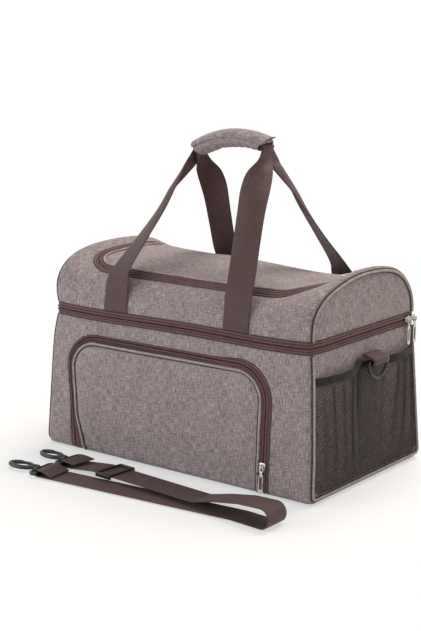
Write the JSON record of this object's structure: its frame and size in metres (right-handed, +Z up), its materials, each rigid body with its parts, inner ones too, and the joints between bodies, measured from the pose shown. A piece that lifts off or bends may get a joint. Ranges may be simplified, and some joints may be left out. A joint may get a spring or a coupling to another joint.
{
  "type": "insulated tote bag",
  "caption": "Insulated two-storey tote: a foil-lined tub with a front zip pocket and mesh end pockets under a hinged, zipped dome lid with a top flap, webbing handles and a shoulder strap.",
  "frame": {"origin": "middle of the flat base, on the floor", "axes": "+X along the bag to the right, -Y the front with the zip pocket, +Z up"},
  "size_m": [0.4678, 0.3949, 0.4469],
  "materials": {
    "canvas": "heathered grey-taupe linen-look polyester",
    "zip_tape": "maroon-brown woven zip tape with nylon coil",
    "webbing": "dark brown twill webbing",
    "mesh": "dark open diamond mesh",
    "elastic": "black woven elastic",
    "foam": "closed-cell foam, unseen",
    "foil": "crinkled silver foil lining",
    "board": "stiff board, unseen",
    "nickel": "polished nickel-plated zinc",
    "black_plastic": "black moulded acetal with a soft gloss"
  },
  "bodies": {
    "bag_base": {"lower_shell": "canvas", "base_board": "board", "lower_foam": "foam", "lower_liner": "foil", "pocket_back": "canvas", "pocket_tape_outer": "zip_tape", "perimeter_tape_lower": "zip_tape", "hinge_strip_lower": "canvas", "lower_piping_left": "canvas", "lower_piping_right": "canvas", "mesh_pocket_left": "mesh", "mesh_pocket_right": "mesh", "elastic_left": "elastic", "elastic_right": "elastic", "tab_left": "webbing", "tab_right": "webbing"},
    "lid": {"dome_shell": "canvas", "dome_foam": "foam", "dome_liner": "foil", "divider_panel": "foil", "perimeter_tape_upper": "zip_tape", "hinge_strip_upper": "canvas", "dome_piping_left": "canvas", "dome_piping_right": "canvas", "flap_tape_outer": "zip_tape", "handle_base_front_left": "webbing", "handle_base_front_right": "webbing", "handle_base_back_left": "webbing", "handle_base_back_right": "webbing"},
    "top_flap": {"top_flap": "canvas", "top_flap_pad": "foil", "flap_tape_inner": "zip_tape"},
    "flap_slider": {"flap_slider": "nickel"},
    "flap_pull": {"flap_pull": "nickel"},
    "front_handle": {"front_handle": "webbing"},
    "back_handle": {"back_handle": "webbing", "grip_wrap": "canvas"},
    "grip_flap": {"grip_flap": "canvas"},
    "pocket_panel": {"pocket_panel": "canvas", "pocket_tape_inner": "zip_tape"},
    "pocket_slider": {"pocket_slider": "nickel"},
    "pocket_pull": {"pocket_pull": "nickel"},
    "end_slider": {"end_slider": "nickel"},
    "end_pull": {"end_pull": "nickel"},
    "corner_slider": {"corner_slider": "nickel"},
    "corner_pull": {"corner_pull": "nickel"},
    "d_ring_left": {"d_ring_left": "black_plastic"},
    "d_ring_right": {"d_ring_right": "black_plastic"},
    "strap": {"shoulder_strap": "webbing", "strap_swivel_front": "black_plastic", "strap_swivel_rear": "black_plastic"},
    "tri_glide": {"tri_glide": "black_plastic"},
    "strap_hook_front": {"strap_hook_front": "black_plastic"},
    "strap_hook_rear": {"strap_hook_rear": "black_plastic"},
    "strap_gate_front": {"strap_gate_front": "black_plastic"},
    "strap_gate_rear": {"strap_gate_rear": "black_plastic"}
  },
  "joints": [
    {"name": "lid_hinge", "type": "hinge", "parent": "bag_base", "child": "lid", "pos_m": [0, 0.1265, 0.1945], "axis": [-1, 0, 0], "range_deg": [0, 110]},
    {"name": "top_flap_hinge", "type": "hinge", "parent": "lid", "child": "top_flap", "pos_m": [0, 0.058, 0.2686], "axis": [-1, 0, 0], "range_deg": [0, 55]},
    {"name": "flap_slider_slide", "type": "slide", "parent": "top_flap", "child": "flap_slider", "axis": [0, -0.9996, 0.0266], "range_m": [0, 0.028]},
    {"name": "flap_pull_swing", "type": "hinge", "parent": "flap_slider", "child": "flap_pull", "pos_m": [0.17701, 0.02816, 0.27231], "axis": [-0.9967, -0.0021, -0.0807], "range_deg": [0, 150]},
    {"name": "front_handle_swing", "type": "hinge", "parent": "lid", "child": "front_handle", "pos_m": [0, -0.1244, 0.2205], "axis": [1, 0, 0], "range_deg": [0, 137.5], "deforming": ["front_handle"]},
    {"name": "back_handle_swing", "type": "hinge", "parent": "lid", "child": "back_handle", "pos_m": [0, 0.1244, 0.2205], "axis": [1, 0, 0], "range_deg": [-140, 0], "deforming": ["back_handle"]},
    {"name": "grip_flap_hinge", "type": "hinge", "parent": "back_handle", "child": "grip_flap", "pos_m": [0, 0.0192, 0.4252], "axis": [-0.9911, 0, -0.1331], "range_deg": [0, 110]},
    {"name": "pocket_hinge", "type": "hinge", "parent": "bag_base", "child": "pocket_panel", "pos_m": [0, -0.13404, 0.018], "axis": [1, 0, 0], "range_deg": [0, 70]},
    {"name": "pocket_slider_slide", "type": "slide", "parent": "pocket_panel", "child": "pocket_slider", "axis": [0, 0.0534, 0.9986], "range_m": [0, 0.075]},
    {"name": "pocket_pull_swing", "type": "hinge", "parent": "pocket_slider", "child": "pocket_pull", "pos_m": [0.1505, -0.13906, 0.03833], "axis": [-1, 0, 0], "range_deg": [0, 70]},
    {"name": "end_slider_slide", "type": "slide", "parent": "bag_base", "child": "end_slider", "axis": [0, -1, 0], "range_m": [0, 0.072]},
    {"name": "end_pull_swing", "type": "hinge", "parent": "end_slider", "child": "end_pull", "pos_m": [0.2161, 0.104, 0.1945], "axis": [0, -1, 0], "range_deg": [0, 150]},
    {"name": "corner_slider_turn", "type": "hinge", "parent": "bag_base", "child": "corner_slider", "pos_m": [0.204, 0.119, 0.1945], "axis": [0, 0, -1], "range_deg": [-90, 0]},
    {"name": "corner_pull_swing", "type": "hinge", "parent": "corner_slider", "child": "corner_pull", "pos_m": [0.2161, 0.119, 0.1945], "axis": [0, -1, 0], "range_deg": [0, 150]},
    {"name": "d_ring_left_swing", "type": "hinge", "parent": "bag_base", "child": "d_ring_left", "pos_m": [-0.22761, 0.008, 0.15826], "axis": [0, 1, 0], "range_deg": [0, 125]},
    {"name": "d_ring_right_swing", "type": "hinge", "parent": "bag_base", "child": "d_ring_right", "pos_m": [0.22761, 0.008, 0.15826], "axis": [0, -1, 0], "range_deg": [0, 125]},
    {"name": "strap_lift", "type": "slide", "parent": "bag_base", "child": "strap", "axis": [0, 0, 1], "range_m": [0, 0.3]},
    {"name": "tri_glide_slide", "type": "slide", "parent": "strap", "child": "tri_glide", "axis": [0.9965, -0.0836, 0], "range_m": [0, 0.12]},
    {"name": "strap_hook_front_swivel", "type": "hinge", "parent": "strap", "child": "strap_hook_front", "pos_m": [-0.128, -0.237, 0.005], "axis": [0.9965, 0.0836, 0], "continuous": true},
    {"name": "strap_hook_rear_swivel", "type": "hinge", "parent": "strap", "child": "strap_hook_rear", "pos_m": [-0.128, -0.187, 0.005], "axis": [0.9965, -0.0836, 0], "continuous": true},
    {"name": "strap_gate_front_hinge", "type": "hinge", "parent": "strap_hook_front", "child": "strap_gate_front", "pos_m": [-0.16054, -0.2307, 0.005], "axis": [0, 0, 1], "range_deg": [0, 25], "stiffness_Nm_per_rad": 0.02, "springref_deg": -11.46},
    {"name": "strap_gate_rear_hinge", "type": "hinge", "parent": "strap_hook_rear", "child": "strap_gate_rear", "pos_m": [-0.15904, -0.17536, 0.005], "axis": [0, 0, 1], "range_deg": [0, 25], "stiffness_Nm_per_rad": 0.02, "springref_deg": -11.46}
  ],
  "couplings": [
    {"joint": "front_handle_swing", "follows": "top_flap_hinge", "ratio": 2.5},
    {"joint": "pocket_pull_swing", "follows": "pocket_hinge", "ratio": 1}
  ]
}
